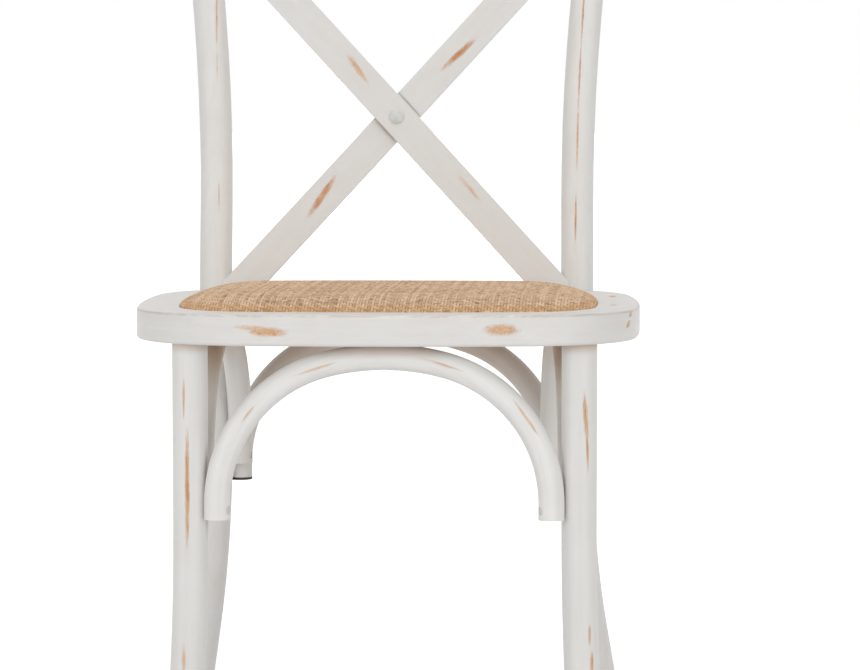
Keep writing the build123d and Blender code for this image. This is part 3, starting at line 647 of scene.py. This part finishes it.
RATTAN_PALE = (0.880, 0.618, 0.402, 1)
RATTAN_DEEP = (0.450, 0.250, 0.115, 1)
RATTAN_ORANGE = (0.640, 0.350, 0.135, 1)
RATTAN_DARK = (0.150, 0.075, 0.032, 1)
TURNED_EDGE_START = 0.4610
TURNED_EDGE_END = 0.4660
STRAND_SHARE = 0.45
FLOAT_SHARE = 0.55
STREAK_SHARE = 0.7
PATCH_SHARE = 0.7
COLUMN_SHARE = 0.32
PALER = 0.10
DARK_FLOAT = 0.35
HOLLOW_SHADE = 0.90
RATTAN_ROUGHNESS = 0.55
COLUMN_SPREAD = 1.31  # these five keep the strands' random tones apart
ROW_SPREAD = 1.17
WAY_SPREAD = 7.3
COLUMN_SEED = 7.7
ROW_SEED = 431.3
WEAVE_RELIEF = 0.0004
weave_finish, weave_shader, weave_place = new_finish("rattan_twill")
x = weave_place.part(0)
y = weave_place.part(1) - seat_middle
across = (x * math.cos(WEAVE_SKEW) + y * math.sin(WEAVE_SKEW)) / STRAND
along = (y * math.cos(WEAVE_SKEW) - x * math.sin(WEAVE_SKEW)) / STRAND
column = across.math("FLOOR")
row = along.math("FLOOR")
cycle = (column + row).math("FLOORED_MODULO", TWILL)
lengthways = cycle.math("LESS_THAN", TWILL / 2)
float_column = column - (1 - lengthways) * (cycle - TWILL / 2)
float_row = row - lengthways * cycle
float_place = join(float_column * COLUMN_SPREAD, float_row * ROW_SPREAD, lengthways * WAY_SPREAD)
in_space = {"noise_dimensions": "3D"}
in_line = {"noise_dimensions": "1D"}
float_tone = float_place.node("ShaderNodeTexWhiteNoise", in_space, {"Vector": float_place})
column_place = column * COLUMN_SPREAD + COLUMN_SEED
row_place = row * ROW_SPREAD + ROW_SEED
column_tone = column.node("ShaderNodeTexWhiteNoise", in_line, {"W": column_place})
row_tone = row.node("ShaderNodeTexWhiteNoise", in_line, {"W": row_place})
strand_tone = row_tone + lengthways * (column_tone - row_tone)
place_across = (along - row) + lengthways * ((across - column) - (along - row))
off_centre = (place_across - 0.5).math("ABSOLUTE")
hollow = off_centre.step(0.30, 0.50)
streak_along = join(across * 5, along * 0.5, column * 0).noise((1, 1, 1), 2)
streak_across = join(across * 0.5, along * 5, column * 0).noise((1, 1, 1), 2)
streak = streak_across + lengthways * (streak_along - streak_across)
patch = weave_place.noise((30, 30, 30), 2)
turned = 1 - weave_place.part(2).step(TURNED_EDGE_START, TURNED_EDGE_END)
deepness = strand_tone * STRAND_SHARE + float_tone * FLOAT_SHARE
deepness = deepness + (streak - 0.5) * STREAK_SHARE + (patch - 0.5) * PATCH_SHARE
deepness = deepness + (column_tone - 0.5) * COLUMN_SHARE - PALER
tone = deepness.node("ShaderNodeClamp", {}, {0: deepness}).mix(RATTAN_PALE, RATTAN_DEEP)
tone = (turned * (0.30 + float_tone * 0.70)).mix(tone, RATTAN_ORANGE)
dark_float = (float_tone * 0.7 + strand_tone * 0.3).step(0.80, 0.92) * DARK_FLOAT
# Some strands are darker, and the gaps between strands get painted shade.
dark_floats_and_gap_shade = dark_float.math("MAXIMUM", hollow * HOLLOW_SHADE)
dark_floats_and_gap_shade.mix(tone, RATTAN_DARK).feed(weave_shader.inputs["Base Color"])
(RATTAN_ROUGHNESS + (streak - 0.5) * 0.3).feed(weave_shader.inputs["Roughness"])
raise_surface(weave_shader, 1 - off_centre * 1.2 + (streak - 0.5) * 0.4, 0.35, WEAVE_RELIEF)
weave_mesh.materials.append(weave_finish)
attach(woven, "root")
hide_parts("woven_seat")


# Glides: black moulded plastic discs, one under each foot, held by a nail up through the middle.
# Their undersides are scuffed grey where they rub on the floor.
GLIDE_BLACK = (0.020, 0.020, 0.021, 1)
GLIDE_SCUFF = (0.085, 0.083, 0.080, 1)
GLIDE_GRIT = (900, 900, 900)
GLIDE_ROUGHNESS = 0.5
SCUFF_START = 0.0002
SCUFF_END = 0.0016
GLIDE_RELIEF = 0.0002
glide_finish, glide_shader, glide_place = new_finish("black_glide")
grit = glide_place.noise(GLIDE_GRIT, 3)
scuffed = (1 - glide_place.part(2).step(SCUFF_START, SCUFF_END)) * grit.step(0.4, 0.7)
scuffed.mix(GLIDE_BLACK, GLIDE_SCUFF).feed(glide_shader.inputs["Base Color"])
(GLIDE_ROUGHNESS + grit * 0.2).feed(glide_shader.inputs["Roughness"])
raise_surface(glide_shader, grit, 0.2, GLIDE_RELIEF)
for foot in ("front_left", "front_right", "rear_left", "rear_right"):
    dress("foot_glide_" + foot, glide_finish)


# Studio: a white floor and surround with even light from all round, a softbox on each side of the camera
# and a weak one overhead. The camera stands where the photograph was taken from, a little to the right
# and above the seat.
FLOOR_HALF = 40
FLOOR_GLOW = 0.80
FLOOR_NEAR_GLOW = 0.55
FLOOR_SHADOW_REACH = 0.45
FLOOR_WHITE_FROM = 1.1
FLOOR_COLOUR = (0.85, 0.85, 0.85, 1)
WHITE = (1, 1, 1, 1)
ROOM_LIGHT = 0.54
LAMP_POWER = 38
LAMP_SIZE = 2.2
LAMP_DISTANCE = 4.5
LAMP_TURN = math.radians(34)
LAMP_RISE = math.radians(11)
LAMP_AIM = (0, 0, 0.45)
TOP_LAMP_POWER = 15
TOP_LAMP_PLACE = (0, -0.2, 3.0)
CAMERA_PLACE = (0.1216, -3.5559, 0.6811)
CAMERA_TURN = math.radians(1.333)
CAMERA_DIP = math.radians(4.172)
CAMERA_FOCUS = 3533.3  # pixels
PICTURE_WIDTH = 860
SENSOR_WIDTH = 36


def seen_directly(tree):
    """1 for what the camera sees, in mirrors and glass too."""
    path = tree.nodes.new("ShaderNodeLightPath")
    camera_ray, glossy_ray, through_ray = (
        Tone(path.outputs[name]) for name in ("Is Camera Ray", "Is Glossy Ray", "Is Transmission Ray")
    )
    return camera_ray.math("MAXIMUM", glossy_ray.math("MAXIMUM", through_ray))


floor_mesh = bpy.data.meshes.new("floor")
floor_corners = [(-FLOOR_HALF, -FLOOR_HALF, 0), (FLOOR_HALF, -FLOOR_HALF, 0)]
floor_corners += [(FLOOR_HALF, FLOOR_HALF, 0), (-FLOOR_HALF, FLOOR_HALF, 0)]
floor_mesh.from_pydata(floor_corners, [], [(0, 1, 2, 3)])
floor = bpy.data.objects.new("floor", floor_mesh)
bpy.context.scene.collection.objects.link(floor)
floor_finish = bpy.data.materials.new("white_floor")
floor_finish.use_nodes = True
floor_tree = floor_finish.node_tree
floor_tree.nodes.clear()
seen = seen_directly(floor_tree)
matt = seen.node("ShaderNodeBsdfDiffuse", {}, {"Color": FLOOR_COLOUR})
floor_place = seen.node("ShaderNodeTexCoord", {}, {}, "Object")
far = floor_place.vector("LENGTH", (0, 0, 0), 1).step(FLOOR_SHADOW_REACH, FLOOR_WHITE_FROM)
glow_level = FLOOR_NEAR_GLOW + far * (1 - FLOOR_NEAR_GLOW)
glow_colour = join(glow_level, glow_level, glow_level)
glow = seen.node("ShaderNodeEmission", {}, {"Color": glow_colour, "Strength": FLOOR_GLOW})
bright = seen.node("ShaderNodeAddShader", {}, {0: matt, 1: glow})
floor_surface = seen.node("ShaderNodeMixShader", {}, {0: seen, 1: matt, 2: bright})
floor_surface.feed(floor_tree.nodes.new("ShaderNodeOutputMaterial").inputs["Surface"])
floor_mesh.materials.append(floor_finish)

room = bpy.data.worlds.new("white_room")
bpy.context.scene.world = room
room.use_nodes = True
room.node_tree.nodes.clear()
seen = seen_directly(room.node_tree)
lit = seen.node("ShaderNodeBackground", {}, {"Color": WHITE, "Strength": ROOM_LIGHT})
white = seen.node("ShaderNodeBackground", {}, {"Color": WHITE, "Strength": 1.0})
room_surface = seen.node("ShaderNodeMixShader", {}, {0: seen, 1: lit, 2: white})
room_surface.feed(room.node_tree.nodes.new("ShaderNodeOutputWorld").inputs["Surface"])


def hang_lamp(place, power):
    lamp_data = bpy.data.lights.new("softbox", "AREA")
    lamp_data.energy = power
    lamp_data.size = LAMP_SIZE
    lamp = bpy.data.objects.new("softbox", lamp_data)
    lamp.location = place
    lamp.rotation_euler = (Vector(LAMP_AIM) - Vector(place)).to_track_quat("-Z", "Y").to_euler()
    lamp.visible_camera = False
    bpy.context.scene.collection.objects.link(lamp)


lamp_level = LAMP_DISTANCE * math.cos(LAMP_RISE)
lamp_height = LAMP_AIM[2] + LAMP_DISTANCE * math.sin(LAMP_RISE)
for side in (-1, 1):
    lamp_out = side * lamp_level * math.sin(LAMP_TURN)
    hang_lamp((lamp_out, -lamp_level * math.cos(LAMP_TURN), lamp_height), LAMP_POWER)
hang_lamp(TOP_LAMP_PLACE, TOP_LAMP_POWER)

camera_data = bpy.data.cameras.new("photo_camera")
camera_data.sensor_width = SENSOR_WIDTH
camera_data.lens = CAMERA_FOCUS / PICTURE_WIDTH * SENSOR_WIDTH
camera = bpy.data.objects.new("photo_camera", camera_data)
camera.location = CAMERA_PLACE
camera.rotation_euler = (math.pi / 2 - CAMERA_DIP, 0, CAMERA_TURN)
bpy.context.scene.collection.objects.link(camera)
bpy.context.scene.camera = camera
bpy.context.scene.view_settings.view_transform = "Standard"
